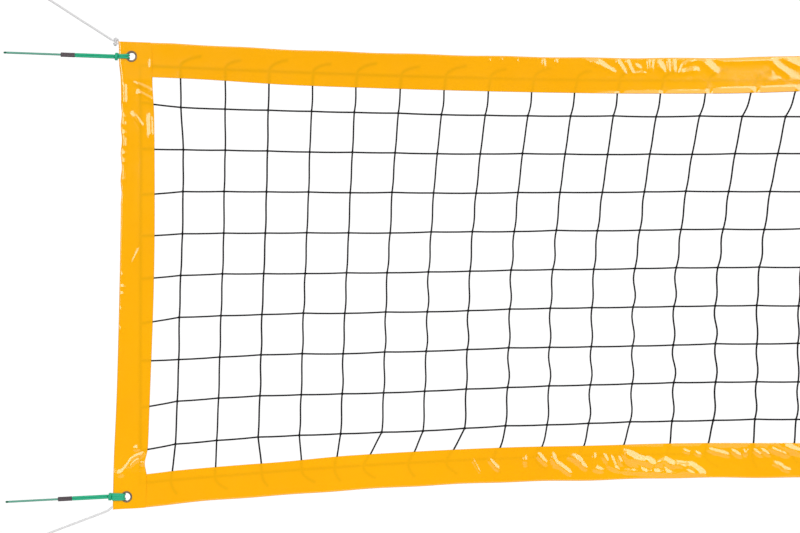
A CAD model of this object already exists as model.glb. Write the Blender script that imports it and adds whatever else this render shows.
"""Beach volleyball net: knotted netting in folded vinyl bands, with grommets, cord ties and hem ropes."""

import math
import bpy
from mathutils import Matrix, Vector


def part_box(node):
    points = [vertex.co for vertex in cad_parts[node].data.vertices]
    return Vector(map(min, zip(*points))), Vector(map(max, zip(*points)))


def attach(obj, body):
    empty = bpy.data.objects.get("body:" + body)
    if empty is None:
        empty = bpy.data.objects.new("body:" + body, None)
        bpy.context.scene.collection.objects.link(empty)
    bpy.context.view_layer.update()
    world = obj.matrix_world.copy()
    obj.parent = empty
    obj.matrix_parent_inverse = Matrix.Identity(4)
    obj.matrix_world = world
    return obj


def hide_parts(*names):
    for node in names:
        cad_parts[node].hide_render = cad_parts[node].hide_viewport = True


bl_info = {
    "name": "Beach Volleyball Net",
    "version": (1, 0, 0),
    "blender": (4, 5, 0),
    "location": "View3D > Sidebar > Net",
    "description": "Builds the left end of the net, mirrors it and dresses the packed frame",
    "category": "Add Mesh",
}

import bpy
import numpy as np
from bpy.props import FloatProperty, FloatVectorProperty, IntProperty, PointerProperty
from mathutils import Vector, noise

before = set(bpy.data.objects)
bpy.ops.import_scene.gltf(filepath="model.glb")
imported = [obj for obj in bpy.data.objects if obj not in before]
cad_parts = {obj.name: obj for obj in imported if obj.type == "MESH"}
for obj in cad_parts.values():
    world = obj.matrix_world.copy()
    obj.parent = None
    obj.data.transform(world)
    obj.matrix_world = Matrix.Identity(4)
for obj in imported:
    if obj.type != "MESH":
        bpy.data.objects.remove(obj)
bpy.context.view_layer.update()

# Edges of the net, as its bands are cut, in metres
HALF_L = 4.25
CORNER_Z = 0.5545
TOP_RISE, TOP_RISE_L, TOP_BEND = 0.038, 1.24, 1.6
BOTTOM_DROP, BOTTOM_DROP_L, BOTTOM_BEND = 0.075, 1.43, 1.9
SIDE_FLARE, SIDE_PINCH, PINCH_PEAK = 0.012, 0.011, 0.385
BORDER_IN = 0.054
TOP, BOTTOM = 1, -1
LEVELS = {TOP: "top", BOTTOM: "bottom"}
CORNERS = {TOP: "top_left", BOTTOM: "bottom_left"}
# How a fold hangs off the edge that it is cut to: [height, distance from the end, width] of each swell
FOLD_SWELLS = {
    TOP: ((0.0026, 0.15, 0.16), (0.0056, 1.66, 0.14)),
    BOTTOM: ((-0.0034, 0.068, 0.06), (-0.001, 0.42, 0.1), (-0.0024, 1.13, 0.14)),
}

# Folded vinyl strips
VINYL_T = 0.0006
BAND_W = {TOP: 0.082, BOTTOM: 0.079}
SIDE_W = 0.078
HEM_R = 0.0029
HEM_W = 0.032
FLAT_HALF = 0.002
CORNER_HALF = 0.0038
BAND_END_X = {TOP: 4.2396, BOTTOM: 4.2545}
LAP_X = {TOP: 3.686, BOTTOM: 3.353}
LAP_L = 0.02
LAP_OVER = 0.00035

# Grommets and ties
GROMMET_IN = {TOP: 0.028, BOTTOM: 0.032}
HOLE_R, BARREL_R, FLANGE_R, FLANGE_T = 0.009, 0.0099, 0.0135, 0.0012
CORD_D, TAIL_D, TIP_D, TIP_L = 0.0045, 0.004, 0.0054, 0.008
CORD_R = CORD_D / 2
TIE_L = {TOP: 0.093, BOTTOM: 0.084}
TAIL_L = {TOP: 0.126, BOTTOM: 0.115}
TIE_TILT = {TOP: math.radians(2.1), BOTTOM: math.radians(-3)}
FERRULE_L, FERRULE_IN = 0.034, 0.032
STRAND_UP = 0.0024
PIVOT_OUT = 0.01395
TAIL_GAP = 0.0023

# Ropes. Leads run [out, up] from the pivot at the hem's mouth, and the bottom one starts inside its hem
ROPE_D = 0.004
ROPE_R = ROPE_D / 2
HEM_ROPES = {TOP: "head_rope", BOTTOM: "foot_rope"}
LEAD_AT = {TOP: (4.2639, 0.5592), BOTTOM: (4.2646, -0.5528)}
LEAD_ROUTE = {
    TOP: [(0, 0), (0.025, 0.016), (0.05, 0.032), (0.08, 0.051), (0.11, 0.0705), (0.137, 0.088),
          (0.164, 0.105)],
    BOTTOM: [(-0.007, 0.001), (0, 0), (0.005, -0.0045), (0.014, -0.01), (0.045, -0.022), (0.085, -0.037),
             (0.13, -0.054), (0.173, -0.071)],
}
EYE_R, EYE_X = 0.018, 0.0345
LAY = 0.0105

# Netting: squares of 100 mm, ten rows of them
COLUMNS, ROWS = 84, 10
HALF_COLUMNS = COLUMNS // 2
PITCH = 0.0985
# Millimetres from the left end to where each upright twine goes into the bottom band, and how far each
# level twine is pulled up where it goes into the side band
FEET = (129, 232, 340, 436, 519, 595, 700, 792, 901, 1001, 1103, 1199, 1310, 1401, 1510, 1606)
SIDE_ROWS = (8.6, 0, -8, -4.6, -5, -9.4, 3, -7, -7.6)
# Ends of the border knots, curled in the fold: [out, in, radians of bend] for even and odd columns
TAIL_CURLS = {
    TOP: ((0.036, 0.021, 1.45), (0.042, 0.026, 1.3)),
    BOTTOM: ((0.028, 0.029, 0.8), (0.013, 0.031, 0.5)),
}
# At a knot the level twine passes over the upright one
KNOT_LIFT = 0.0008


def grommet_at(level):
    """Place of the left grommet at that level, from its packed eyelet."""
    low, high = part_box(f"eyelet_{CORNERS[level]}")
    return (low + high) / 2


def ease(t):
    t = np.clip(t, 0, 1)
    return t * t * (3 - 2 * t)


def hump(value, centre, width):
    return np.exp(-(((value - centre) / width) ** 2))


def swells(value, table):
    """Sum of smooth humps: [height, centre, width] each."""
    return sum(height * hump(value, centre, width) for height, centre, width in table)


def rise(x, span, bend):
    """How much of its rise to the corner an edge has made at x."""
    return np.clip(1 - (HALF_L - np.abs(x)) / span, 0, None) ** bend


def top_z(x):
    return CORNER_Z - TOP_RISE * (1 - rise(x, TOP_RISE_L, TOP_BEND))


def bottom_z(x):
    return -CORNER_Z + BOTTOM_DROP * (1 - rise(x, BOTTOM_DROP_L, BOTTOM_BEND))


def edge_z(level, x):
    return top_z(x) if level == TOP else bottom_z(x)


def fold_z(level, x):
    """Edge of a fold as it hangs, a few millimetres off the edge that it is cut to."""
    far = HALF_L - np.abs(x)
    sag = 0 if level == TOP else 0.0018 + 0.0012 * ease((far - 0.08) / 0.1)
    return edge_z(level, x) + swells(far, FOLD_SWELLS[level]) - sag


def side_x(u):
    """Distance of a side edge from the middle, from its top (0) to its bottom (1)."""
    return HALF_L + SIDE_FLARE * u - SIDE_PINCH / PINCH_PEAK * np.sqrt(u) * (1 - u)


def corner_x(level):
    return float(side_x(0.0 if level == TOP else 1.0))


def srgb(*colour):
    """Linear colour from sRGB numbers of 0 to 255."""
    return tuple((c / 255 / 12.92) if c <= 10 else ((c / 255 + 0.055) / 1.055) ** 2.4 for c in colour)


# --------------------------------------------------------------------------- settings


def colour_prop(name, description, default):
    return FloatVectorProperty(name=name, description=description, default=default, subtype="COLOR", size=3,
                               min=0, max=1)


def length_prop(name, description, default):
    return FloatProperty(name=name, description=description, default=default, unit="LENGTH", precision=4)


class NettingSettings(bpy.types.PropertyGroup):
    twine_d: length_prop("Twine", "Diameter of the twine", 0.0044)
    knot_r: length_prop("Knot", "Radius of each wrap of a knot", 0.0021)
    slack: length_prop("Slack", "Most that an upright twine bows between its knots", 0.0042)
    seed: IntProperty(name="Seed", description="Seed of the small unevenness of the netting", default=7)
    colour: colour_prop("Colour", "Colour of the twine", srgb(18, 17, 20))


class VinylSettings(bpy.types.PropertyGroup):
    step: length_prop("Step", "Length of a face where the creases are fine", 0.0025)
    coarse_step: length_prop("Coarse step", "Length of a face in the middle of the net", 0.012)
    crumple: length_prop("Crumple", "Height of the small crumples", 0.0004)
    colour: colour_prop("Colour", "Colour of the vinyl", srgb(252, 174, 1))
    light_colour: colour_prop("Light colour", "Colour where the vinyl is thin", srgb(255, 180, 2))
    through_colour: colour_prop("Colour over twine", "Colour where a twine shows through", srgb(222, 160, 0))


class CordSettings(bpy.types.PropertyGroup):
    green: colour_prop("Tie cord", "Colour of the tie cord", srgb(42, 196, 148))
    green_dark: colour_prop("Tie cord, dark", "Colour between its braids", srgb(2, 132, 94))
    core: colour_prop("Tail", "Colour of the single tail", srgb(98, 166, 143))
    white: colour_prop("Rope", "Colour of the ropes", srgb(220, 218, 218))
    sleeve: colour_prop("Ferrule", "Colour of the ferrules", srgb(76, 65, 70))
    bronze: colour_prop("Grommet", "Colour of the grommets", srgb(132, 112, 92))


class StageSettings(bpy.types.PropertyGroup):
    lens: FloatProperty(name="Lens", description="Focal length of the camera in millimetres", default=85)
    view_w: length_prop("View width", "Width of the view at the net", 1.904)
    net_top: length_prop("Net height", "Height of the net's top edge over the floor", 2.43)
    key: FloatProperty(name="Key light", description="Strength of each soft lamp", default=0.95)
    fill: FloatProperty(name="Fill light", description="Strength of the light from all round", default=0.31)


SETTINGS = {
    "net_mesh_settings": NettingSettings,
    "net_vinyl_settings": VinylSettings,
    "net_cord_settings": CordSettings,
    "net_stage_settings": StageSettings,
}

# --------------------------------------------------------------------------- shared modelling

POINT_OUT = (bpy.ops.mesh.normals_make_consistent, {"inside": False})


def select_only(*pieces):
    bpy.ops.object.select_all(action="DESELECT")
    for piece in pieces:
        piece.select_set(True)
    bpy.context.view_layer.objects.active = pieces[-1]


def new_piece(name, data):
    """Puts a mesh or a curve into the scene."""
    piece = bpy.data.objects.new(name, data)
    bpy.context.collection.objects.link(piece)
    return piece


def get_points(piece):
    flat = np.empty(3 * len(piece.data.vertices), np.float32)
    piece.data.vertices.foreach_get("co", flat)
    return flat.reshape(-1, 3).astype(float)


def set_points(piece, points):
    piece.data.vertices.foreach_set("co", np.ascontiguousarray(points, np.float32).ravel())
    piece.data.update()


def new_grid(name, along, across):
    """A grid primitive, with each vertex's share along it (0 to 1) and across it (0 to 1)."""
    bpy.ops.object.select_all(action="DESELECT")
    bpy.ops.mesh.primitive_grid_add(x_subdivisions=along, y_subdivisions=across, size=1)
    piece = bpy.context.object
    piece.name = piece.data.name = name
    shares = get_points(piece) + 0.5
    return piece, shares[:, 0], shares[:, 1]


def set_uv(piece, along, across):
    """Writes the piece's UV map from a value along it and one across it at each vertex."""
    corner = np.empty(len(piece.data.loops), np.int32)
    piece.data.loops.foreach_get("vertex_index", corner)
    piece.data.uv_layers[0].data.foreach_set("uv", np.stack([along[corner], across[corner]], 1).ravel())


def edit(piece, *steps):
    """Runs edit mode operators on the whole piece."""
    select_only(piece)
    bpy.ops.object.mode_set(mode="EDIT")
    bpy.ops.mesh.select_all(action="SELECT")
    for operator, options in steps:
        operator(**options)
    bpy.ops.object.mode_set(mode="OBJECT")


def smooth_faces(piece, degrees):
    """Shades a piece smooth, but for edges sharper than the angle."""
    select_only(piece)
    bpy.ops.object.shade_smooth_by_angle(angle=math.radians(degrees))


def apply_modifier(piece, name, kind, **settings):
    modifier = piece.modifiers.new(name, kind)
    for setting, value in settings.items():
        setattr(modifier, setting, value)
    select_only(piece)
    bpy.ops.object.modifier_apply(modifier=name)


def smooth_line(route, step):
    """Points about step apart on a smooth curve through the route's points."""
    p = np.array(route, float)
    padded = np.vstack([2 * p[0] - p[1], p, 2 * p[-1] - p[-2]])
    out = []
    for k in range(len(p) - 1):
        a, b, c, d = padded[k:k + 4]
        count = max(1, round(np.linalg.norm(c - b) / step))
        for t in np.arange(count) / count:
            out.append(0.5 * (2 * b + (c - a) * t + (2 * a - 5 * b + 4 * c - d) * t * t
                              + (3 * b - a - 3 * c + d) * t ** 3))
    return np.array(out + [p[-1]])


def frames_along(line, up):
    """Distance along the line, and two axes square to it that don't twist."""
    way = np.gradient(line, axis=0)
    way /= np.linalg.norm(way, axis=1)[:, None]
    sides, ups = [], []
    up = np.array(up, float)
    for w in way:
        up = up - w * (up @ w)
        up /= np.linalg.norm(up)
        sides.append(np.cross(up, w))
        ups.append(up)
    steps = np.linalg.norm(np.diff(line, axis=0), axis=1)
    return np.concatenate([[0], np.cumsum(steps)]), np.array(sides), np.array(ups)


def sweep(name, line, section, sides=12, up=(0, 1, 0)):
    """A closed tube along the line. section(s, length, turn) gives its half width along each axis."""
    piece, u, v = new_grid(name, len(line) - 1, sides)
    s, side, ups = frames_along(line, up)
    ring = np.rint(u * (len(line) - 1)).astype(int)
    turn = 2 * math.pi * v
    across, over = section(s[ring], s[-1], turn)
    set_points(piece, line[ring] + side[ring] * (across * np.cos(turn))[:, None]
               + ups[ring] * (over * np.sin(turn))[:, None])
    set_uv(piece, s[ring], v)
    edit(piece, (bpy.ops.mesh.remove_doubles, {"threshold": 1e-7}),
         (bpy.ops.mesh.fill_holes, {"sides": 0}), POINT_OUT)
    smooth_faces(piece, 50)
    return piece


def ends(s, length, radius, last=True):
    """Share of the radius near the ends of a cord: rounded at the first, and at the last if it is bare."""
    share = np.ones_like(s)
    for inwards in (s, length - s) if last else (s,):
        share *= np.sqrt(np.clip(1 - np.clip(1 - inwards / radius, 0, 1) ** 2, 0.02, 1))
    return share


def round_cord(radius, last=True):
    def section(s, length, turn):
        r = radius * ends(s, length, radius, last)
        return r, r
    return section


def laid_rope(radius, depth=0.045):
    """Three strands laid round each other."""
    def section(s, length, turn):
        r = radius * ends(s, length, radius)
        r = r * (1 + depth * np.abs(np.cos(1.5 * (turn - 2 * math.pi * s / LAY))) - depth * 0.4)
        return r, r
    return section


def lathe(name, profile, centre, steps=48):
    """A closed ring: a profile of [radius, across] points spun about the Y axis through a centre."""
    mesh = bpy.data.meshes.new(name)
    places = [(centre[0] + r, centre[1] + y, centre[2]) for r, y in profile]
    mesh.from_pydata(places, [(k, (k + 1) % len(places)) for k in range(len(places))], [])
    piece = new_piece(name, mesh)
    edit(piece, (bpy.ops.mesh.spin, {"steps": steps, "angle": 2 * math.pi, "center": tuple(centre),
                                     "axis": (0, 1, 0)}),
         (bpy.ops.mesh.select_all, {"action": "SELECT"}),
         (bpy.ops.mesh.remove_doubles, {"threshold": 1e-6}), POINT_OUT)
    smooth_faces(piece, 40)
    return piece


def join(name, *pieces):
    select_only(*pieces)
    bpy.ops.object.join()
    piece = bpy.context.object
    piece.name = piece.data.name = name
    return piece


# --------------------------------------------------------------------------- materials


def add_node(tree, kind, inputs=None, **settings):
    """Adds a node. Each of its inputs gets a link from a socket, or a value."""
    made = tree.nodes.new(kind)
    for name, value in settings.items():
        setattr(made, name, value)
    for socket, value in (inputs or {}).items():
        if isinstance(value, bpy.types.NodeSocket):
            tree.links.new(value, made.inputs[socket])
        else:
            made.inputs[socket].default_value = value
    return made


class Finish:
    """A material with one Principled shader, and short ways to add nodes to it."""

    def __init__(self, name, **sockets):
        self.material = bpy.data.materials.new(name)
        self.material.use_nodes = True
        self.tree = self.material.node_tree
        self.shader = self.tree.nodes["Principled BSDF"]
        for socket, value in sockets.items():
            self.shader.inputs[socket.replace("_", " ")].default_value = value
        self.coords = self.add("ShaderNodeTexCoord")

    def add(self, kind, inputs=None, **settings):
        return add_node(self.tree, kind, inputs, **settings)

    def feed(self, socket, value):
        self.tree.links.new(value, self.shader.inputs[socket])

    def noise(self, scale, detail=3.0, roughness=0.5):
        return self.add("ShaderNodeTexNoise", {"Vector": self.coords.outputs["Object"], "Scale": scale,
                                               "Detail": detail, "Roughness": roughness}).outputs["Fac"]

    def maths(self, operation, a, b=0.0):
        return self.add("ShaderNodeMath", {0: a, 1: b}, operation=operation).outputs[0]

    def sine(self, turns):
        return self.maths("SINE", self.maths("MULTIPLY", turns, 2 * math.pi))

    def spread(self, value, low, high, to_low, to_high):
        return self.add("ShaderNodeMapRange", {"Value": value, "From Min": low, "From Max": high,
                                               "To Min": to_low, "To Max": to_high}).outputs["Result"]

    def between(self, value, first, second):
        ramp = self.add("ShaderNodeValToRGB", {"Fac": value})
        ramp.color_ramp.elements[0].color = (*first, 1)
        ramp.color_ramp.elements[1].color = (*second, 1)
        return ramp.outputs["Color"]

    def bump(self, height, distance, strength=1.0, **under):
        return self.add("ShaderNodeBump", {"Height": height, "Distance": distance, "Strength": strength,
                                           **under}).outputs["Normal"]

    def roughen(self, scale, detail, low, high):
        """Roughness between low and high, with fine noise."""
        self.feed("Roughness", self.spread(self.noise(scale, detail), 0.3, 0.7, low, high))

    def uv(self):
        parts = self.add("ShaderNodeSeparateXYZ", {0: self.coords.outputs["UV"]})
        return parts.outputs["X"], parts.outputs["Y"]


def tints(colour, *factors):
    return [tuple(min(1, c * factor) for c in colour) for factor in factors]


def grained(name, colours, grain, relief, rough=None, **sockets):
    """Two shades mixed by a fine grain, with a relief. Each starts with its noise's scale and detail."""
    f = Finish(name, **sockets)
    f.feed("Base Color", f.between(f.noise(*grain), *colours))
    if rough:
        f.roughen(*rough)
    f.feed("Normal", f.bump(f.noise(*relief[:2]), *relief[2:]))
    return f.material


def yarned(name, colours, yarn_w, wraps, grain, relief, rough):
    """Yarns that slant round a cord, from the UV map's metres along and turns round."""
    f = Finish(name, IOR=1.46)
    along, around = f.uv()
    yarns = f.maths("ADD", f.maths("MULTIPLY", along, 1 / yarn_w), f.maths("MULTIPLY", around, wraps))
    yarn = f.spread(f.sine(yarns), -1, 1, 0, 1)
    f.feed("Base Color", f.between(f.maths("MULTIPLY", yarn, f.noise(grain, 3)), *colours))
    f.feed("Normal", f.bump(yarn, 0.0002, relief))
    f.roughen(rough, 2, 0.5, 0.7)
    return f.material


def vinyl_finish(settings):
    """Glossy vinyl. Its "under" attribute is 1 over a twine, which shows through."""
    f = Finish("vinyl_sheet", IOR=1.5, Specular_IOR_Level=0.95)
    cloud = f.spread(f.noise(2.6, 4), 0.35, 0.65, 0, 1)
    plain = f.between(cloud, settings.colour, settings.light_colour)
    under = f.add("ShaderNodeAttribute", attribute_name="under").outputs["Fac"]
    through = (*settings.through_colour, 1)
    mixed = f.add("ShaderNodeMix", {0: under, 6: plain, 7: through}, data_type="RGBA")
    f.feed("Base Color", mixed.outputs[2])
    f.roughen(18, 3, 0.07, 0.11)
    peel = f.bump(f.noise(420, 2), 0.00005, 0.15)
    f.feed("Normal", f.bump(f.noise(42, 4, 0.55), 0.0012, 0.1, Normal=peel))
    return f.material


def braid_finish(settings):
    """Braided cord: two sets of slanting yarns, from the UV map's metres along and turns round."""
    f = Finish("braided_cord", IOR=1.46)
    along, around = f.uv()
    pitch = f.maths("MULTIPLY", along, 1 / 0.0034)
    wraps = f.maths("MULTIPLY", around, 4.0)
    right, left = (f.sine(f.maths(slant, pitch, wraps)) for slant in ("ADD", "SUBTRACT"))
    braid = f.spread(f.maths("MULTIPLY", right, left), -1, 1, 0, 1)
    f.feed("Base Color", f.between(f.maths("POWER", braid, 0.6), settings.green_dark, settings.green))
    fibres = f.bump(f.noise(1400, 2), 0.0002, 0.3)
    f.feed("Normal", f.bump(braid, 0.0005, 0.7, Normal=fibres))
    f.roughen(300, 2, 0.45, 0.65)
    return f.material


def core_finish(settings):
    """The tail is the duller, smoother core of the tie cord."""
    return yarned("cord_core", tints(settings.core, 0.8, 1.3), yarn_w=0.002, wraps=5.0, grain=700, relief=0.3,
                  rough=300)


def rope_finish(settings):
    return yarned("laid_rope", tints(settings.white, 0.94, 1.1), yarn_w=0.0016, wraps=9.0, grain=500,
                  relief=0.25, rough=400)


def twine_finish(settings):
    return grained("netting_twine", tints(settings.colour, 0.6, 1.5), grain=(260, 3),
                   relief=(900, 3, 0.0004, 0.5), rough=(90, 2, 0.6, 0.8), IOR=1.45,
                   Specular_IOR_Level=0.25)


def sleeve_finish(settings):
    return grained("ferrule_sleeve", tints(settings.sleeve, 0.8, 1.2), grain=(220, 4),
                   relief=(1200, 2, 0.0001, 0.4), rough=(700, 3, 0.32, 0.55), Metallic=0.2, IOR=1.5)


def bronze_finish(settings):
    return grained("grommet_bronze", tints(settings.bronze, 0.55, 1.3), grain=(160, 4),
                   relief=(800, 2, 0.00008, 0.4), rough=(500, 3, 0.28, 0.5), Metallic=0.7)


def tip_finish(settings):
    """The cord's end, melted dark."""
    return grained("sealed_tip", tints(settings.green_dark, 0.35, 0.77), grain=(500, 3),
                   relief=(700, 3, 0.0003, 0.5), Roughness=0.4, IOR=1.5)


# Each look: its material slot, its finish and the settings that the finish takes
LOOKS = {
    "vinyl": ("vinyl", vinyl_finish, "net_vinyl_settings"),
    "twine": ("netting_twine", twine_finish, "net_mesh_settings"),
    "braid": ("green_cord", braid_finish, "net_cord_settings"),
    "core": ("green_cord", core_finish, "net_cord_settings"),
    "rope": ("white_rope", rope_finish, "net_cord_settings"),
    "sleeve": ("ferrule_metal", sleeve_finish, "net_cord_settings"),
    "bronze": ("grommet_metal", bronze_finish, "net_cord_settings"),
    "tip": ("sealed_tip", tip_finish, "net_cord_settings"),
}
MATERIALS = {}


def dress(piece, look, node, body="root"):
    """Gives a piece its material, made for the first piece of its look, and says where it belongs."""
    slot, finish, settings = LOOKS[look]
    if look not in MATERIALS:
        MATERIALS[look] = finish(getattr(bpy.context.scene, settings))
    piece.data.materials.clear()
    piece.data.materials.append(MATERIALS[look])
    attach(piece, body)
    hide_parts(node)
    return piece


def mirror_name(name):
    return name.replace("left", "right")


def both_ends(piece, look, node, body="root"):
    """Dresses a left-hand piece, and a mirrored copy of it for the right-hand end."""
    copy = new_piece(mirror_name(piece.name), piece.data.copy())
    set_points(copy, get_points(copy) * (-1, 1, 1))
    copy.data.flip_normals()
    return dress(piece, look, node, body), dress(copy, look, mirror_name(node), mirror_name(body))


# --------------------------------------------------------------------------- stage

VIEW_CENTRE = (-3.5788, 0.0202)
SENSOR = 36.0
CLIP_END = 200
# Lamps: [degrees round from the front, degrees up, degrees across, share of the key strength]
LAMPS = (
    (-25, 15, 32, 1), (25, 15, 32, 1), (155, 15, 32, 1), (-155, 15, 32, 1),
    (0, 41, 46, 0.7), (180, 41, 46, 0.7),
)
LAMP_AWAY = 8
BACKDROP, FILL_TINT, FILL_IN_GLOSS = 1.05, (0.94, 0.97, 1, 1), 0.15
FLOOR_W = 12


class NET_OT_stage(bpy.types.Operator):
    """Adds the camera, the lights and the floor"""

    bl_idname = "net.stage"
    bl_label = "Stage"

    def execute(self, context):
        settings = context.scene.net_stage_settings
        self.camera(context, settings)
        self.lamps(settings)
        self.world(context, settings)
        self.floor(settings)
        context.scene.view_settings.view_transform = "Standard"
        return {"FINISHED"}

    def camera(self, context, settings):
        away = settings.view_w * settings.lens / SENSOR
        bpy.ops.object.camera_add(location=(VIEW_CENTRE[0], -away, VIEW_CENTRE[1]),
                                  rotation=(math.radians(90), 0, 0))
        camera = context.object
        camera.name = "net_camera"
        camera.data.lens = settings.lens
        camera.data.sensor_width = SENSOR
        camera.data.clip_end = CLIP_END
        context.scene.camera = camera

    def lamps(self, settings):
        """Soft lamps far off, in front and behind."""
        for number, (around, above, across, share) in enumerate(LAMPS):
            a, e = math.radians(around), math.radians(above)
            away = Vector((math.sin(a) * math.cos(e), -math.cos(a) * math.cos(e), math.sin(e)))
            bpy.ops.object.light_add(type="SUN", location=away * LAMP_AWAY,
                                     rotation=away.to_track_quat("Z", "Y").to_euler())
            lamp = bpy.context.object
            lamp.name = f"lamp_{number}"
            lamp.data.energy = settings.key * share
            lamp.data.angle = math.radians(across)

    def world(self, context, settings):
        """White behind the net, and a softer light on it from all round that gloss hardly mirrors."""
        world = bpy.data.worlds.new("studio")
        context.scene.world = world
        world.use_nodes = True
        tree = world.node_tree
        tree.nodes.clear()
        ray = add_node(tree, "ShaderNodeLightPath").outputs
        less = (FILL_IN_GLOSS - 1) * settings.fill
        dim = add_node(tree, "ShaderNodeMath", {0: ray["Is Glossy Ray"], 1: less, 2: settings.fill},
                       operation="MULTIPLY_ADD")
        light = add_node(tree, "ShaderNodeBackground", {"Color": FILL_TINT, "Strength": dim.outputs[0]})
        backdrop = add_node(tree, "ShaderNodeBackground", {"Color": (1, 1, 1, 1), "Strength": BACKDROP})
        mix = add_node(tree, "ShaderNodeMixShader", {0: ray["Is Camera Ray"], 1: light.outputs[0],
                                                     2: backdrop.outputs[0]})
        add_node(tree, "ShaderNodeOutputWorld", {"Surface": mix.outputs[0]})

    def floor(self, settings):
        height = top_z(0.0) - settings.net_top
        bpy.ops.mesh.primitive_plane_add(size=FLOOR_W, location=(0, 0, height))
        floor = bpy.context.object
        floor.name = "floor"
        f = Finish("pale_floor", Roughness=0.9)
        f.feed("Base Color", f.between(f.noise(0.5), (0.8, 0.8, 0.8), (0.84, 0.84, 0.84)))
        floor.data.materials.append(f.material)


# --------------------------------------------------------------------------- ropes and ties

# How much thicker than its bare diameter each cord lies
LEAD_FULL, STRAND_FULL, TAIL_FULL = 1.22, 1.18, 1.28


def coil(centre, way, radius, turns, pitch, step=0.0009):
    """A short helix about the way, with its two ends drawn in."""
    way = np.array(way, float) / np.linalg.norm(way)
    side = np.array((0, 1, 0.0))
    up = np.cross(way, side)
    t = np.linspace(-0.5, 0.5, int(2 * math.pi * radius * turns / step))
    angle = 2 * math.pi * turns * t
    r = radius * (1 - 0.45 * ease((np.abs(t) - 0.42) / 0.08))
    return (np.array(centre) + np.outer(t * turns * pitch, way) + (r * np.cos(angle))[:, None] * side
            + (r * np.sin(angle))[:, None] * up)


class NET_OT_ropes(bpy.types.Operator):
    """Adds the laid ropes: the leads with their knots and eyes, and the lengths in the hems"""

    bl_idname = "net.ropes"
    bl_label = "Ropes"

    def execute(self, context):
        for level in (TOP, BOTTOM):
            self.lead(level)
        self.stopper_knot()
        for level in (TOP, BOTTOM):
            self.hem_rope(level)
        return {"FINISHED"}

    def lead(self, level):
        corner = CORNERS[level]
        x, z = LEAD_AT[level]
        points = np.array([(-(x + out), 0, z + up) for out, up in LEAD_ROUTE[level]])
        line = smooth_line(points, 0.0011)
        rope = sweep(f"lead_rope_{corner}", line, laid_rope(LEAD_FULL * ROPE_R, depth=0.03))
        eye = self.eye(corner, points[-1], points[-1] - points[-2])
        ropes = both_ends(rope, "rope", f"rope_lead_{corner}", f"lead_{corner}")
        eyes = both_ends(eye, "rope", f"rope_eye_{corner}", f"lead_{corner}")

    def eye(self, corner, end, way):
        """The rope comes round in a loop and is bound to itself by a knot."""
        way = way / np.linalg.norm(way)
        up = np.cross(way, (0, 1, 0))
        a = np.radians(np.linspace(-172, 172, 110))[:, None]
        loop = end + way * (EYE_X - 0.001) + EYE_R * (np.cos(a) * way + np.sin(a) * up)
        neck, throat = end + way * 0.004, end + way * 0.009
        line = np.vstack([neck + up * 0.0018, throat + up * 0.002, loop[::-1], throat - up * 0.002,
                          neck - up * 0.0018])
        wraps = coil(end + way * 0.008, way, radius=0.0037, turns=3, pitch=0.0041)
        return join(f"eye_{corner}", sweep("loop", smooth_line(line, 0.0012), laid_rope(ROPE_R)),
                    sweep("wraps", wraps, laid_rope(0.92 * ROPE_R), up=way))

    def stopper_knot(self):
        """An overhand knot that keeps the head rope from slipping into its hem."""
        corner = np.array((-corner_x(TOP), 0, CORNER_Z))
        x, z = LEAD_AT[TOP]
        low = coil(corner + (-0.0065, 0, -0.0035), (-0.5, 0, 1), radius=0.0034, turns=2.2, pitch=0.0038)
        high = coil(corner + (-0.0045, 0, 0.0055), (1, 0, 0.35), radius=0.0036, turns=2.2, pitch=0.0038)
        inner = smooth_line([corner + (0.003, 0, -HEM_R), corner + (-0.003, 0, -0.003),
                             corner + (-0.006, 0, 0.001), (-x, 0, z)], 0.001)
        knot = join("stopper_knot_left", sweep("low", low, laid_rope(0.9 * ROPE_R), up=(0.5, 0.3, 1)),
                    sweep("high", high, laid_rope(0.9 * ROPE_R), up=(1, 0.3, 0)),
                    sweep("inner", inner, laid_rope(ROPE_R)))
        both_ends(knot, "rope", "rope_knot_left")

    def hem_rope(self, level):
        x = np.linspace(-corner_x(level), corner_x(level), 500)
        line = np.stack([x, 0 * x, fold_z(level, x) - level * HEM_R], 1)
        rope = sweep(f"hem_{HEM_ROPES[level]}", line, round_cord(ROPE_R), sides=8)
        dress(rope, "rope", HEM_ROPES[level])


def tie_frame(level):
    """Pivot of the left tie at that level, and its axes out and up."""
    grommet = grommet_at(level)
    pivot = np.array((grommet.x - GROMMET_IN[level] - PIVOT_OUT, 0, grommet.z))
    cos, sin = math.cos(TIE_TILT[level]), math.sin(TIE_TILT[level])
    return pivot, np.array((-cos, 0, sin)), np.array((sin, 0, cos))


KNOT_OUT = 0.0078
WRAP_Y, WRAP_Z, WRAP_PITCH = 0.0067, 0.0071, 0.0058
# Strands of each tie over its band: how far each lies from the middle over the band and in the hole
STRANDS = {TOP: ((0.0026, 0.0032),), BOTTOM: ((0.0023, 0.0021), (0.0063, 0.0055))}
STRAND_Y, RIM_Y, RIM_BEND = 0.0066, 0.005, 0.0023
# The doubled cord: [distance out, share of the full gap between its strands], to where the ferrule is met
STRAND_GAPS = ((-0.0024, 0.9), (0.004, 1.0), (0.03, 1.0))


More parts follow.
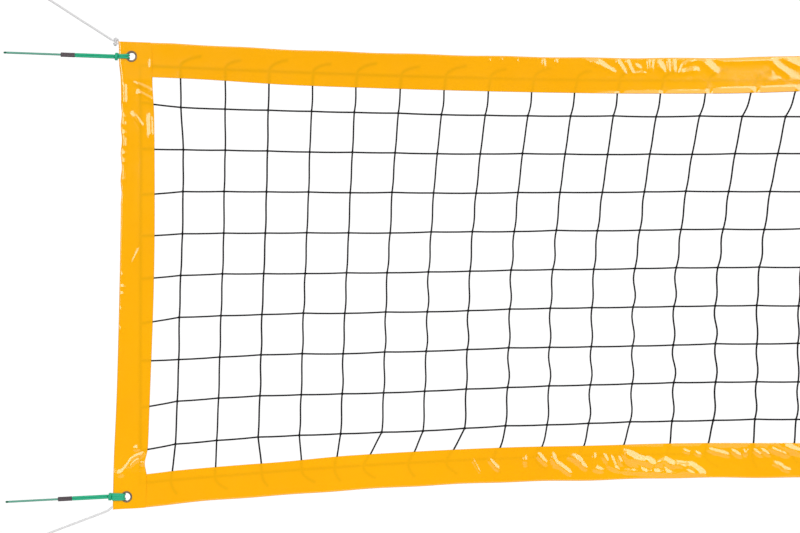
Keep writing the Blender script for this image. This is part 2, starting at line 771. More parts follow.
def loop_route(level, over, inside):
    """One strand through a grommet, from the knot and back to it: [out, across, up] from the grommet."""
    hole_out = 0.0064 if inside < 0.005 else 0.0048
    edge = GROMMET_IN[level]
    knot = edge + KNOT_OUT
    drawn_in = min(over, 0.0046)
    front = [(knot + 0.003, -0.0022, 0.0023), (knot - 0.0035, -0.0027, drawn_in), (edge, -0.0058, over),
             (edge - 0.005, -STRAND_Y, over), (0.5 * (edge + hole_out), -STRAND_Y, over)]
    into = [(hole_out + RIM_BEND * (1 - math.cos(t)), -RIM_Y - RIM_BEND * math.sin(t), inside)
            for t in map(math.radians, (90, 60, 30, 0))]
    through = front + into
    return through + [(out, -across, up) for out, across, up in reversed(through)]


class NET_OT_ties(bpy.types.Operator):
    """Adds the green ties: their loops, doubled cords, ferrules and single tails"""

    bl_idname = "net.ties"
    bl_label = "Ties"

    def execute(self, context):
        for level in (TOP, BOTTOM):
            self.loop(level)
            strands = self.doubled_cord(level)
            sleeves = self.ferrule(level)
            self.tail(level)
        return {"FINISHED"}

    def loop(self, level):
        """Two strands over the band and through the grommet, and the two wraps that bind them at its edge."""
        corner = CORNERS[level]
        grommet = grommet_at(level)

        def section(s, length, turn):
            """The cord lies flatter where it is drawn over the band."""
            rounding = CORD_R * ends(s, length, CORD_R)
            from_middle = np.abs(s / length - 0.5)
            over_band = ease((from_middle - 0.06) / 0.06) * ease((0.42 - from_middle) / 0.06)
            return (1 - 0.1 * over_band) * rounding, (1 + 0.22 * over_band) * rounding

        made = []
        for over, inside in STRANDS[level]:
            for side in (1, -1):
                line = smooth_line([(grommet.x - out, across, grommet.z + side * up)
                                    for out, across, up in loop_route(level, over, inside)], 0.0012)
                made.append(sweep("strand", line, section, up=(0, 0, 1)))
        turns = np.linspace(-1.06, 1.06, 86)
        angle = 2 * math.pi * turns
        out = GROMMET_IN[level] + KNOT_OUT + 0.5 * WRAP_PITCH * turns
        wraps = np.stack([grommet.x - out, WRAP_Y * np.cos(angle), grommet.z + WRAP_Z * np.sin(angle)], 1)
        made.append(sweep("wraps", wraps, round_cord(CORD_R), up=(1, 0, 0)))
        both_ends(join(f"tie_hitch_{corner}", *made), "braid", f"tie_loop_{corner}")

    def doubled_cord(self, level):
        """The two strands from the knot into the ferrule: each pair of mirrored pieces, and its line."""
        corner = CORNERS[level]
        pivot, out, up = tie_frame(level)
        inside = TIE_L[level] + FERRULE_IN
        gaps = [*STRAND_GAPS, (0.6 * inside, 1.02), (TIE_L[level], 1), (inside, 1)]

        def section(s, length, turn):
            """The cord is squeezed where the ferrule holds it."""
            held = ease((s - length + FERRULE_IN + 0.003) / 0.004)
            r = CORD_R * (STRAND_FULL - 0.22 * held) * ends(s, length, CORD_R)
            return r, r

        made = []
        for place, sign in (("upper", 1), ("lower", -1)):
            line = smooth_line([pivot + out * o + up * sign * STRAND_UP * gap for o, gap in gaps], 0.0015)
            strand = sweep(f"tie_{place}_strand_{corner}", line, section)
            made.append((both_ends(strand, "braid", f"tie_cord_{corner}", f"tie_{corner}"), line))
        return made

    def ferrule(self, level):
        corner = CORNERS[level]
        pivot, out, _ = tie_frame(level)
        line = pivot + np.outer(TIE_L[level] + np.linspace(0, FERRULE_L, 69), out)

        def section(s, length, turn):
            """A stadium with rolled ends, drawn in between the two strands and by three light crimps."""
            square = (np.abs(np.cos(turn)) ** 3.2 + np.abs(np.sin(turn)) ** 3.2) ** (-1 / 3.2)
            crimps = sum(hump(s, length * share, 0.0017) for share in (0.25, 0.5, 0.75))
            lips = hump(s, 0.0008, 0.0008) + hump(s, length - 0.0008, 0.0008)
            rounded = ends(s, length, 0.0008) ** 0.25
            waist = 0.0007 * hump(np.cos(turn), 0, 0.3)
            return ((0.0053 + 0.0002 * lips - 0.0001 * crimps) * square ** 0.35 * rounded,
                    (0.0032 + 0.0002 * lips - 0.0002 * crimps - waist) * square ** 0.6 * rounded)

        sleeve = sweep(f"ferrule_sleeve_{corner}", line, section, sides=28)
        return both_ends(sleeve, "sleeve", f"ferrule_{corner}", f"tie_{corner}")

    def tail(self, level):
        corner = CORNERS[level]
        pivot, out, _ = tie_frame(level)
        start = TIE_L[level] + FERRULE_L + TAIL_GAP
        line = pivot + np.outer(start + np.linspace(-TAIL_GAP - 0.001, TAIL_L[level], 90), out)
        cord = sweep(f"tail_cord_{corner}", line, round_cord(TAIL_FULL * TAIL_D / 2, last=False))
        tip_line = pivot + np.outer(start + TAIL_L[level] + np.linspace(-0.0005, TIP_L, 26), out)

        def bulb(s, length, turn):
            """The end is melted into a small uneven bulb."""
            r = TIP_D / 2 * ends(s, length, TIP_D / 2) * (0.86 + 0.14 * hump(s, 0.62 * length, 0.3 * length))
            return r * (1 + 0.04 * np.sin(2 * turn + 900 * s)), r

        tip = sweep(f"melted_tip_{corner}", tip_line, bulb, sides=16)
        cords = both_ends(cord, "core", f"tie_tail_{corner}", f"tail_{corner}")
        tips = both_ends(tip, "tip", f"tie_tip_{corner}", f"tail_{corner}")


# --------------------------------------------------------------------------- netting


def in_fold(i, j):
    """Whether a knot lies in the fold of a band."""
    return i in (0, COLUMNS) or j in (0, ROWS)


def left_knots(rng):
    """Places [x, z] of the knots in the left half, for columns 0 to 42 and rows 0 (top) to 10."""
    i, j = np.meshgrid(np.arange(HALF_COLUMNS + 1), np.arange(ROWS + 1), indexing="ij")
    border = HALF_L - BORDER_IN
    past = np.clip(i - 16, 0, None) / (HALF_COLUMNS - 16)
    x = -border + PITCH * i + (border - PITCH * HALF_COLUMNS) * past ** 2
    share = (i > 0) * (1 - ease((i - 36) / 6))
    # the uprights fan out under the top band, and lean back lower down
    spread = np.where(i <= 16, np.clip(i - 1, 0, None), 15 * (1 - ease(past)))
    drawn = 1 + 0.2 * (j == 0) * ease((i - 12) / 2)
    x = x + 0.0055 * spread * drawn * np.clip(1 - j / 5.3, 0, None) ** 1.4 * share
    x = x + 0.006 * hump(i, 8.6, 2.4) * np.clip(1 - j / 2.5, 0, None) - 0.004 * hump(i, 1, 0.7) * (j < 2)
    x = x - 0.0034 * share * ease((i - 3) / 6) * hump(j, 4.2, 2.3)
    x = x - 0.003 * share * ease((i - 8) / 4) * hump(j, 6.4, 1)
    x = x - (0.0036 * np.clip(j - 4.2, 0, None) + 0.003 * (j == ROWS)) * share
    x = x + 0.004 * hump(i, 1, 0.8) * hump(j, 2.2, 1.2)
    x = x + 0.0036 * share * hump(j, 8, 1.1) * (1 - hump(i, 8, 5))
    # each goes into the bottom band at its own place
    feet = np.interp(i, range(1, len(FEET) + 1), np.array(FEET) / 1000 - HALF_L)
    x = np.where((j == ROWS) & (i > 0) & (i <= len(FEET)), feet + 0.35 * (feet - x[:, [ROWS - 1]]), x)
    # the level twines sag, and are pulled up where they go into the side band
    high, low = top_z(x) - BORDER_IN, bottom_z(x) + BORDER_IN
    inner = (j > 0) & (j < ROWS)
    far = np.minimum(1, (x + border) / 1.5)
    z = high + (low - high) * j / ROWS + inner * (0.0055 - 0.0024 * j * (1 - 0.43 * far))
    sag = swells(i, ((0.0046, 2.3, 2.3), (-0.0048, 6.4, 2.4), (-0.0032, 11, 2.5)))
    z = z + inner * (sag * (j / 9) ** 1.5 + 0.0025 * ease((i - 7) / 4) * hump(j, 3.4, 1.5) * share)
    z = z + (i == 0) * np.array((0, *SIDE_ROWS, 0))[j] / 1000
    # and all of them are a little uneven
    loose = inner * share
    uneven = np.where(j == ROWS, 2.5 * share * (i > len(FEET)), 0.6 * loose + 0.2 * (j == 0))
    x = x + rng.uniform(-0.0016, 0.0016, x.shape) * uneven
    z = z + rng.uniform(-0.0012, 0.0012, z.shape) * loose
    return x, z


class Netting:
    """Where the knots of the whole net lie, worked out once."""

    def __init__(self, seed):
        rng = np.random.RandomState(seed)
        x, z = left_knots(rng)
        self.x = np.vstack([x, -x[-2::-1]])
        self.z = np.vstack([z, z[-2::-1]])
        self.x[HALF_COLUMNS] = 0
        self.bow = rng.uniform(0.55, 1.3, (COLUMNS + 1, ROWS))
        self.drift = rng.uniform(-1, 1, (COLUMNS + 1, ROWS + 1))

    def knot(self, i, j):
        y = 0 if in_fold(i, j) else 0.0006 * self.drift[i, j]
        return np.array((self.x[i, j], y, self.z[i, j]))

    def between(self, first, second):
        """The straight twine between two knots, as [x, z] points."""
        return [(self.x[knot], self.z[knot]) for knot in (first, second)]


def upright_points(net, i, slack, parts=8):
    """Points down one upright twine: it bows back, then forward, between two knots."""
    points = []
    edge = min(i, COLUMNS - i)
    side = 1 if i <= HALF_COLUMNS else -1
    for j in range(ROWS):
        start, end = net.knot(i, j), net.knot(i, j + 1)
        looseness = 0.15 + 0.85 * ease(edge / 13) * max(ease((j - 1) / 4.5), 0.7 * (j == 0))
        bow = slack * net.bow[i, j] * looseness * (0 < edge)
        single, double = (0.32, 0.62) if j < ROWS - 1 else (0.75 + 1.6 * hump(edge, 9.5, 1.5), 0.3)
        for k in range(parts):
            t = k / parts
            place = start + (end - start) * t
            place[0] += side * bow * (single * math.sin(math.pi * t) - double * math.sin(2 * math.pi * t))
            if 0 < j < ROWS - 1:
                place[1] += 0.4 * bow * math.sin(2 * math.pi * t + i) - KNOT_LIFT * (k == 0)
            points.append(place)
    return points + [net.knot(i, ROWS)]


def level_points(net, j, parts=3):
    """Points along one level twine, nearly straight between its knots."""
    points = []
    for i in range(COLUMNS):
        start, end = net.knot(i, j), net.knot(i + 1, j)
        for k in range(parts):
            t = k / parts
            place = start + (end - start) * t
            place[2] -= 0.0007 * math.sin(math.pi * t) * (0 < j < ROWS)
            place[1] += KNOT_LIFT * (k == 0 and not in_fold(i, j))
            points.append(place)
    return points + [net.knot(COLUMNS, j)]


def tail_points(net, i, j):
    """The end of a border knot, which lies curled or straight in the fold of its band."""
    side = 1 if i <= HALF_COLUMNS else -1
    level = TOP if j == 0 else BOTTOM
    out, high, bend = TAIL_CURLS[level][i % 2]
    share = 1 + 0.15 * net.drift[i, j]
    start = net.knot(i, j)
    points = []
    for turn in np.linspace(0, bend, 8):
        away = side * share * out * (1 - math.cos(turn)) / (1 - math.cos(bend))
        points.append(start + np.array((away, 0, level * high * math.sin(turn) / math.sin(bend))))
    return points


def tubes(name, lines, radius):
    """Round twines, one for each line of points, as one mesh."""
    curve = bpy.data.curves.new(name, "CURVE")
    curve.dimensions = "3D"
    curve.bevel_depth = radius
    curve.bevel_resolution = 1
    curve.use_fill_caps = True
    for line in lines:
        spline = curve.splines.new("POLY")
        spline.points.add(len(line) - 1)
        spline.points.foreach_set("co", np.hstack([np.array(line), np.ones((len(line), 1))]).ravel())
    select_only(new_piece(name, curve))
    bpy.ops.object.convert(target="MESH")
    bpy.ops.object.shade_smooth()
    return bpy.context.object


def scattered(name, base, places):
    """One mesh of many copies of a base piece, at [place, turn about Y, share of its thickness] each."""
    points = get_points(base)
    faces = [tuple(f.vertices) for f in base.data.polygons]
    all_points, all_faces = [], []
    for number, (place, turn, thick) in enumerate(places):
        c, s = math.cos(turn), math.sin(turn)
        x, y, z = points.T
        all_points.append(np.stack([x * c + z * s, thick * y, z * c - x * s], 1) + place)
        offset = number * len(points)
        all_faces += [tuple(v + offset for v in face) for face in faces]
    mesh = bpy.data.meshes.new(name)
    mesh.from_pydata(np.concatenate(all_points).tolist(), [], all_faces)
    bpy.data.objects.remove(base)
    piece = new_piece(name, mesh)
    select_only(piece)
    bpy.ops.object.shade_smooth()
    return piece


def knot_base(radius, twine_r):
    """A netting knot: two wraps that cross at a slant."""
    wraps = []
    for tilt in (40, -40):
        bpy.ops.object.select_all(action="DESELECT")
        bpy.ops.mesh.primitive_torus_add(major_segments=8, minor_segments=4, major_radius=radius,
                                         minor_radius=0.8 * twine_r)
        wrap = bpy.context.object
        wrap.rotation_euler = (math.radians(tilt), math.radians(25), 0)
        wraps.append(wrap)
    knot = join("knot", *wraps)
    bpy.ops.object.transform_apply(location=True, rotation=True, scale=True)
    return knot


class NET_OT_netting(bpy.types.Operator):
    """Adds the netting: its twines, knots, border twine and curled ends"""

    bl_idname = "net.netting"
    bl_label = "Netting"

    def execute(self, context):
        settings = context.scene.net_mesh_settings
        net = Netting(settings.seed)
        radius = settings.twine_d / 2
        uprights = [upright_points(net, i, settings.slack) for i in range(COLUMNS + 1)]
        levels = [level_points(net, j) for j in range(ROWS + 1)]
        tails = [tail_points(net, i, j) for i in range(1, COLUMNS) for j in (0, ROWS)]
        for name, lines, share in (
            ("netting_twine", uprights[1:-1] + levels[1:-1], 1),
            ("netting_border", [uprights[0], uprights[-1], levels[0], levels[-1]], 0.75),
            ("netting_tails", tails, 0.6),
        ):
            dress(tubes(name, lines, share * radius), "twine", "net_mesh")
        places = [(net.knot(i, j), 0.2 * net.drift[i, j], 0.5 if in_fold(i, j) else 1.0)
                  for i in range(COLUMNS + 1) for j in range(ROWS + 1)]
        dress(scattered("netting_knots", knot_base(settings.knot_r, radius), places), "twine", "net_mesh")
        return {"FINISHED"}


# --------------------------------------------------------------------------- vinyl bands

FLAPS = 34
FINE_END = 2.5
# Share of the rows across a strip that lie on the round of its fold
FOLD_SHARE = 0.15
# How far the front may be pressed in, and how far a twine inside pushes it out, over what width
DENT, TWINE_LIFT, TWINE_LIFT_W, SEEN_W = -0.0002, 0.0002, 0.008, 0.004
# How much wider each long band gets, from where and over what length
WIDER = {TOP: (0.031, 0.2, 0.25), BOTTOM: (0.045, 0.35, 0.2)}
# How plainly the twines show through each long band, and how far its free edge curls out
SEEN = {TOP: 0.55, BOTTOM: 0.42}
CURL = {TOP: 0.34, BOTTOM: 0.136}
# The side band is wider or narrower at some heights: [share, height, length] of each swell
SIDE_SWELLS = ((0.045, 0, 0.26), (-0.04, 0.46, 0.05), (-0.08, -0.4486, 0.022))


def developed(v, width):
    """Depth in from the fold, half gap and face (-1 front, 1 back) for shares across a folded strip."""
    quarter = math.pi / 2 * HEM_R
    face = np.where(v < 0.5, -1.0, 1.0)
    share = np.abs(2 * v - 1)
    on_flat = (share - FOLD_SHARE) / (1 - FOLD_SHARE) * (width - HEM_R)
    a = np.where(share < FOLD_SHARE, share / FOLD_SHARE * quarter, quarter + on_flat)
    depth = np.where(a < quarter, HEM_R * (1 - np.cos(a / HEM_R)), HEM_R + a - quarter)
    half = np.where(a < quarter, HEM_R * np.sin(np.minimum(a, quarter) / HEM_R), HEM_R)
    return depth, half, face


def flat_out(depth, half):
    """The gap closes gently from the hem to the flat of the strip."""
    return half + (FLAT_HALF + VINYL_T - half) * ease((depth - HEM_R) / (HEM_W - HEM_R))


# Creases of the front face, in millimetres: ridges from [x, depth] to [x, depth], then half width and
# height. x is from the left end, and depth from the fold. In the side band it is the height z instead.
CREASES = {
    TOP: (
        (882, 9, 884, 12, 3, 0.8), (910, 10, 913, 7, 3, 0.9), (948, 9, 950, 12, 3, 0.8),
        (1012, 5, 1013, 22, 3, 1.1), (1041, 4, 1042, 14, 3, 1.0),
        (1122, 6, 1146, 18, 8, 2.4), (1150, 18, 1178, 32, 4, 1.2), (1185, 5, 1206, 35, 4, 1.5),
        (1209, 5, 1222, 33, 3.5, 1.4), (1229, 17, 1240, 23, 3.5, 1.2), (1223, 36, 1257, 35, 2.5, 0.7),
        (1262, 5, 1264, 30, 3.5, 1.3), (1271, 6, 1270, 28, 3, 1.1), (1284, 15, 1300, 32, 6, 2.0),
        (1309, 6, 1311, 32, 3.5, 1.3), (1321, 6, 1322, 31, 3.5, 1.3), (1338, 33, 1345, 17, 4, 1.5),
        (1345, 17, 1366, 6, 4, 1.4), (1338, 35, 1376, 28, 4.5, 1.4), (1360, 6, 1398, 5, 3, 1.1),
        (1390, 8, 1418, 31, 7, 2.0), (1432, 7, 1558, 8, 5, 1.4), (1560, 18, 1594, 42, 5.5, 1.7),
        (1586, 8, 1620, 24, 5, 1.5),
    ),
    BOTTOM: (
        (844, 55, 861, 24, 2.5, 0.9), (883, 53, 904, 30, 4, 1.5), (967, 56, 969, 40, 5, 1.8),
        (998, 62, 1018, 40, 5, 1.8), (1032, 60, 1040, 38, 6, 2.1), (1046, 39, 1075, 17, 5, 1.8),
        (1074, 57, 1100, 46, 6, 2.0), (1088, 50, 1112, 28, 5, 1.7), (1132, 58, 1134, 27, 5, 1.8),
        (1136, 25, 1152, 23, 5, 1.6), (1154, 56, 1168, 38, 5, 1.8), (1172, 52, 1184, 30, 5, 1.8),
        (1166, 33, 1190, 22, 5, 1.7), (1188, 54, 1198, 34, 5, 1.8), (1202, 62, 1234, 46, 7, 2.6),
        (1216, 46, 1256, 34, 6, 2.0), (1236, 47, 1256, 42, 6, 2.1), (1258, 44, 1277, 31, 6, 2.3),
        (1280, 34, 1300, 42, 6, 2.0), (1300, 40, 1322, 26, 6, 2.4), (1322, 32, 1362, 27, 6, 2.4),
        (1362, 28, 1388, 12, 6, 2.4), (1202, 20, 1262, 15, 5, 2.0), (1264, 16, 1330, 10, 5, 2.0),
        (1332, 16, 1392, 5, 6, 2.3), (1206, 52, 1224, 30, 5, 1.6), (1262, 36, 1278, 18, 5, 1.8),
        (1292, 34, 1306, 16, 5, 1.8), (1340, 25, 1366, 12, 5, 1.8), (1228, 34, 1250, 22, 4, 1.4),
        (1342, 64, 1359, 58, 3, 1.0), (1372, 58, 1385, 52, 3, 1.1), (1403, 65, 1450, 52, 4, 1.4),
        (1458, 63, 1481, 49, 3.5, 1.3), (1486, 65, 1492, 53, 3, 1.1), (1492, 53, 1498, 65, 3, 1.0),
        (1512, 63, 1530, 51, 3.5, 1.3), (1527, 66, 1549, 52, 3.5, 1.3), (1551, 67, 1592, 52, 5, 1.8),
        (1558, 33, 1577, 28, 4, 1.3), (1578, 22, 1596, 17, 4, 1.3), (1576, 72, 1622, 60, 8, 2.4),
    ),
    "side": (
        (6, 506, 14, 462, 3, 1.2), (15, 456, 16, 406, 4.5, 1.6), (15, 378, 16, 374, 4, 1.3),
        (14, 366, 15, 353, 4, 1.4), (16, 340, 17, 336, 4, 1.3), (14, 328, 15, 302, 4, 1.4),
        (17, 292, 18, 288, 4, 1.3), (16, 271, 17, 267, 4, 1.2), (13, 246, 14, 222, 4, 1.1),
        (10, 2, 11, -2, 3.5, 1.2), (13, -26, 14, -31, 3.5, 1.2), (12, -43, 13, -47, 3.5, 1.2),
        (6, -79, 7, -83, 3, 1.0), (6, -126, 7, -131, 3, 1.0), (41, 458, 80, 438, 4, 1.9),
        (50, 435, 82, 417, 3.2, 1.4), (38, 383, 58, 353, 4.5, 1.5), (77, 378, 79, 328, 4.5, 1.4),
        (51, 62, 35, 29, 3, 0.45), (78, 511, 79, 493, 3, 1.0), (42, -412, 50, -413, 5, 1.7),
        (4, -475, 12, -471, 6, 3.0), (9, -471, 20, -457, 2.8, 1.2), (20, -457, 33, -438, 2.6, 1.1),
        (33, -438, 46, -430, 2.6, 1.1), (46, -430, 63, -423, 3, 1.3), (28, -457, 46, -438, 2.8, 1.2),
        (47, -442, 60, -426, 2.8, 1.2), (55, -445, 63, -449, 4.5, 1.7), (45, -463, 62, -467, 2.5, -0.9),
    ),
}


def along_segment(px, py, dx, dy):
    """For places [px, py] from a segment's start: share along it of the nearest point, and distance."""
    share = np.clip((px * dx + py * dy) / (dx ** 2 + dy ** 2), 0, 1)
    return share, np.hypot(px - share * dx, py - share * dy)


def creased(x, y, table):
    """Height of the creases of a table at each place."""
    height = np.zeros_like(x)
    for x0, y0, x1, y1, half_w, high in np.array(table) / 1000:
        share, away = along_segment(x - x0, y - y0, x1 - x0, y1 - y0)
        taper = min(0.35, 1.3 * half_w / math.hypot(x1 - x0, y1 - y0))
        full = 0.55 + 0.45 * ease(share / taper) * ease((1 - share) / taper)
        height += 1.15 * high * full * hump(away, 0, 1.1 * half_w)
    return height


def crumples(places, amount, seed):
    """Small sharp crumples in patches, from ridged noise."""
    out = np.empty(len(places))
    for k, (x, z, face) in enumerate(places):
        patch = noise.noise(Vector((x * 1.7, z * 3, face + seed)))
        patch = min(1.0, max(0.0, 0.35 + 1.6 * patch))
        ridge = 1 - 2 * abs(noise.noise(Vector((x * 21 + z * 16, z * 30 - x * 7, 3 * face + seed))))
        wave = noise.noise(Vector((x * 9, z * 14, 5 * face + seed)))
        out[k] = patch * (0.55 * ridge * ridge + 0.8 * wave)
    return amount * out


def away_from(x, z, lines, reach=0.012):
    """Distance from each place to the nearest of the lines, each a row of [x, z] points."""
    away = np.full_like(x, reach)
    for line in lines:
        for (x0, z0), (x1, z1) in zip(line[:-1], line[1:]):
            near = np.nonzero((x > min(x0, x1) - reach) & (x < max(x0, x1) + reach))[0]
            if len(near):
                gap = along_segment(x[near] - x0, z[near] - z0, x1 - x0, z1 - z0)[1]
                away[near] = np.minimum(away[near], gap)
    return away


def twines_at(net, i, j):
    """The twines of the netting at a border knot, as [x, z] lines: along the border, inwards and its tail."""
    lines = []
    if i < COLUMNS and j in (0, ROWS):
        lines.append(net.between((i, j), (i + 1, j)))
    if j < ROWS:
        lines.append(net.between((i, j), (i, j + 1)))
    if 0 < i < COLUMNS and j in (0, ROWS):
        lines.append([(p[0], p[2]) for p in tail_points(net, i, j)])
    return lines


def grommet_cutter(place):
    return place, (0, 1, 0), BARREL_R + 0.0003, 0.03


def cut_holes(piece, *cutters):
    """Cuts round holes: [centre, axis, radius, length] each."""
    for centre, axis, radius, length in cutters:
        bpy.ops.object.select_all(action="DESELECT")
        turn = Vector(axis).to_track_quat("Z", "Y").to_euler()
        bpy.ops.mesh.primitive_cylinder_add(vertices=32, radius=radius, depth=length, location=centre,
                                            rotation=turn)
        cutter = bpy.context.object
        apply_modifier(piece, "hole", "BOOLEAN", operation="DIFFERENCE", solver="EXACT", object=cutter)
        bpy.data.objects.remove(cutter)


def lay_strip(piece, points, along, across, seen):
    """Gives a folded strip its shape, UV map, show-through and thickness, with its outer side out."""
    set_points(piece, points)
    set_uv(piece, along, across)
    layer = piece.data.attributes.new("under", "FLOAT", "POINT")
    layer.data.foreach_set("value", seen.astype(np.float32))
    edit(piece, POINT_OUT)
    if sum(p.normal.y * p.center.y for p in piece.data.polygons) < 0:
        piece.data.flip_normals()
    apply_modifier(piece, "thickness", "SOLIDIFY", thickness=VINYL_T, offset=-1, use_even_offset=False)
    smooth_faces(piece, 50)


class NET_OT_bands(bpy.types.Operator):
    """Adds the folded vinyl bands round the netting"""

    bl_idname = "net.bands"
    bl_label = "Vinyl bands"

    def execute(self, context):
        settings = context.scene.net_vinyl_settings
        net = Netting(context.scene.net_mesh_settings.seed)
        for level in (TOP, BOTTOM):
            outer, lap = BAND_END_X[level], LAP_X[level]
            for name, x0, x1, step, over in (
                ("left_strip", -outer, -lap + LAP_L, settings.step, 0.0),
                ("middle_left_part", -lap, -FINE_END, settings.step, LAP_OVER),
                ("middle_part", -FINE_END, FINE_END, settings.coarse_step, LAP_OVER),
            ):
                strip = self.long_strip(name, level, x0, x1, step, over, net, settings.crumple)
                if name == "left_strip":
                    cut_holes(strip, grommet_cutter(grommet_at(level)))
                self.finish_strip(strip, level, x0, x1)
        self.side_strip(net, settings)
        return {"FINISHED"}

    def finish_strip(self, strip, level, x0, x1):
        """Dresses a strip, and its mirror image unless it spans the middle, and says how it lies."""
        node = f"{LEVELS[level]}_band"
        strips = both_ends(strip, "vinyl", node) if x1 < 0 else [dress(strip, "vinyl", node)]

    def long_strip(self, name, level, x0, x1, step, over, net, crumple):
        """A folded strip of the top or bottom band. over lifts it where it laps another."""
        piece, u, v = new_grid(f"{LEVELS[level]}_band_{name}", math.ceil((x1 - x0) / step), 2 * FLAPS)
        x = x0 + u * (x1 - x0)
        far = HALF_L - np.abs(x)
        depth, half, face = developed(v, BAND_W[level])
        half = flat_out(depth, half) + over
        wider, start, length = WIDER[level]
        z = fold_z(level, x) - level * depth * (1 + wider * ease((far - start) / length))
        row, inner_row = (0, 1) if level == TOP else (ROWS, ROWS - 1)
        away = away_from(x, z, [line for i in range(COLUMNS + 1) for j in (row, inner_row)
                                for line in twines_at(net, i, j)])
        # creases and crumples, but none on the fold, by the corner or on the calm place in the top band
        free = ease((BAND_END_X[level] - np.abs(x) - 0.075) / 0.05)
        body = ease((depth - 0.003) / 0.006)
        calm = 1 - 0.9 * (level == TOP) * hump(far, 1.49, 0.09)
        out = crumples(np.stack([x, depth, face], 1), crumple, 3.0 * level) * calm
        out = out + creased(far, depth, CREASES[level]) * (face < 0)
        # the free edge curls out between the twines
        reach = 0.008 + 0.005 * ease((far - 1.38) / 0.06)
        lip = np.clip((depth - BAND_W[level] + reach) / reach, 0, 1) ** 1.4
        near = np.abs(x[:, None] - net.x[None, :, row]).min(1)
        out = out + lip * CURL[level] * reach * ease(near / 0.016) * ease((far - 1.0) / 0.4)
        out = np.maximum(out * body * free, DENT)
        y = face * (half + TWINE_LIFT * hump(away, 0, TWINE_LIFT_W) * calm + out)
        z = z - level * 0.0007 * hump(depth, 0, 0.01) * np.sin(x * 31 + 1.2) * free
        seen = SEEN[level] * (1 - 0.35 * ease((far - 0.7) / 0.3)) * hump(away, 0, SEEN_W)
        lay_strip(piece, np.stack([x, y, z], 1), x, v * 2 * BAND_W[level], seen)
        return piece

    def side_strip(self, net, settings):
        """The left band, which laps over the ends of the top and bottom bands, and its mirror image."""
        piece, u, v = new_grid("side_band_left", int(2 * CORNER_Z / settings.step), 2 * FLAPS)
        depth, half, face = developed(v, SIDE_W)
        corner = np.minimum(u * 2 * CORNER_Z / BAND_W[TOP], (1 - u) * 2 * CORNER_Z / BAND_W[BOTTOM])
        on_corner = 1 - ease((corner - 1.06) / 0.22)
        half = half + (CORNER_HALF - HEM_R) * on_corner * ease(depth / HEM_R)
        half = flat_out(depth, half) * (1 - on_corner) + on_corner * half
        # the fold waves near the top, and the band narrows into a notch near the bottom
        height = CORNER_Z * (1 - 2 * u)
        wave = 0.0013 * np.cos(2 * math.pi * (height - 0.321) / 0.064)
        wave = wave * ease((height - 0.15) / 0.05) * ease((0.43 - height) / 0.05)
        wave = wave + swells(height, ((-0.002, -0.44, 0.1), (-0.003, 0.51, 0.03)))
        x = side_x(u) - wave * (1 - ease(depth / 0.03)) - depth * (1 + swells(height, SIDE_SWELLS))
        z = fold_z(TOP, x) * (1 - u) + fold_z(BOTTOM, x) * u
        lines = [line for i in (0, 1) for j in range(ROWS + 1) for line in twines_at(net, i, j)]
        away = away_from(-x, z, lines + [net.between((0, j), (1, j)) for j in range(1, ROWS)])
        out = crumples(np.stack([x, z, face], 1), settings.crumple, 11.0)
        out = out + creased(HALF_L - x, z, CREASES["side"]) * (face < 0)
        out = out * ease((depth - 0.001) / 0.005)
        grommets = [grommet_at(level) for level in (TOP, BOTTOM)]
        for grommet in grommets:
            out = out * ease((np.hypot(x + grommet.x, z - grommet.z) - 0.015) / 0.02)
        out = np.maximum(out * (1 - 0.6 * on_corner), DENT)
        y = face * (half + TWINE_LIFT * hump(away, 0, 0.007) * (1 - on_corner) + out)
        lay_strip(piece, np.stack([-x, y, z], 1), z, v * 2 * SIDE_W,
                  hump(away, 0, SEEN_W) * (0.48 - 0.28 * on_corner))
        cut_holes(piece, *map(grommet_cutter, grommets), *map(self.mouth_cutter, (TOP, BOTTOM)))
        for strip in both_ends(piece, "vinyl", "left_band"):
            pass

    def mouth_cutter(self, level):
        """For the mouth of a hem, where its rope comes out."""
        edge = corner_x(level)
        return (-edge, 0, float(fold_z(level, edge)) - level * HEM_R), (1, 0, 0), ROPE_R + 0.0005, 0.016


# --------------------------------------------------------------------------- grommets

MOUTH_R, LIP_R, LIP_H = 0.0022, 0.0008, 0.0006


def arc(r, y, reach_r, reach_y, degrees):
    """Points [radius, across] of a rounded edge about a centre, from an angle off the Y axis."""
    return [(r + reach_r * math.sin(t), y - reach_y * math.cos(t)) for t in map(math.radians, degrees)]


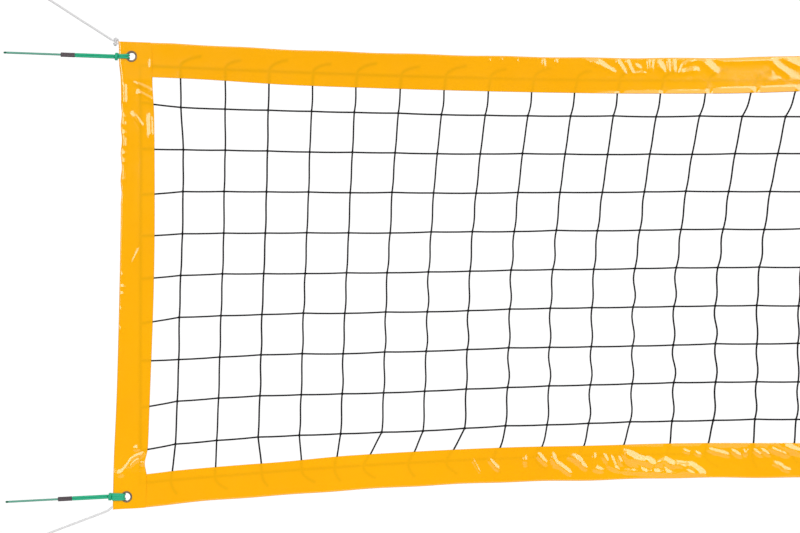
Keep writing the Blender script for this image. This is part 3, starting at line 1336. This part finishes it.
class NET_OT_grommets(bpy.types.Operator):
    """Adds the rolled grommets and their washers"""

    bl_idname = "net.grommets"
    bl_label = "Grommets"

    def execute(self, context):
        front, back = -CORNER_HALF, CORNER_HALF
        rim = front - FLANGE_T
        mouth = arc(HOLE_R + MOUTH_R, rim + MOUTH_R, -MOUTH_R, MOUTH_R, (90, 70, 50, 30, 10))
        lip = arc(FLANGE_R - LIP_R, rim + LIP_H, LIP_R, LIP_H, (0, 30, 60, 90))
        eyelet = mouth + lip + [
            (FLANGE_R, front - 0.0001), (FLANGE_R - 0.0004, front), (BARREL_R, front),
            (BARREL_R, back + 0.0009), (HOLE_R, back + 0.001)]
        washer = [
            (BARREL_R + 0.0001, back), (FLANGE_R - 0.0003, back), (FLANGE_R, back + 0.0003),
            (FLANGE_R - 0.0003, back + 0.0008), (FLANGE_R - 0.0015, back + 0.001),
            (BARREL_R + 0.0006, back + 0.001), (BARREL_R + 0.0001, back + 0.0006)]
        for level in (TOP, BOTTOM):
            corner = CORNERS[level]
            centre = grommet_at(level) * Vector((1, 0, 1))
            both_ends(lathe(f"grommet_{corner}", eyelet, centre), "bronze", f"eyelet_{corner}")
            both_ends(lathe(f"grommet_washer_{corner}", washer, centre), "bronze", f"washer_{corner}")
        return {"FINISHED"}


# --------------------------------------------------------------------------- add-on

OPERATORS = (NET_OT_stage, NET_OT_ropes, NET_OT_ties, NET_OT_grommets, NET_OT_netting, NET_OT_bands)


class NET_PT_panel(bpy.types.Panel):
    """The steps that build the net"""

    bl_label = "Beach Volleyball Net"
    bl_idname = "NET_PT_panel"
    bl_space_type = "VIEW_3D"
    bl_region_type = "UI"
    bl_category = "Net"

    def draw(self, context):
        for operator in OPERATORS:
            self.layout.operator(operator.bl_idname)


def register():
    for name, group in SETTINGS.items():
        bpy.utils.register_class(group)
        setattr(bpy.types.Scene, name, PointerProperty(type=group))
    for cls in (*OPERATORS, NET_PT_panel):
        bpy.utils.register_class(cls)


def unregister():
    for cls in (NET_PT_panel, *reversed(OPERATORS)):
        bpy.utils.unregister_class(cls)
    for name, group in SETTINGS.items():
        delattr(bpy.types.Scene, name)
        bpy.utils.unregister_class(group)


def main():
    register()
    for operator in OPERATORS:
        group, step = operator.bl_idname.split(".")
        getattr(getattr(bpy.ops, group), step)()


if __name__ == "__main__":
    main()
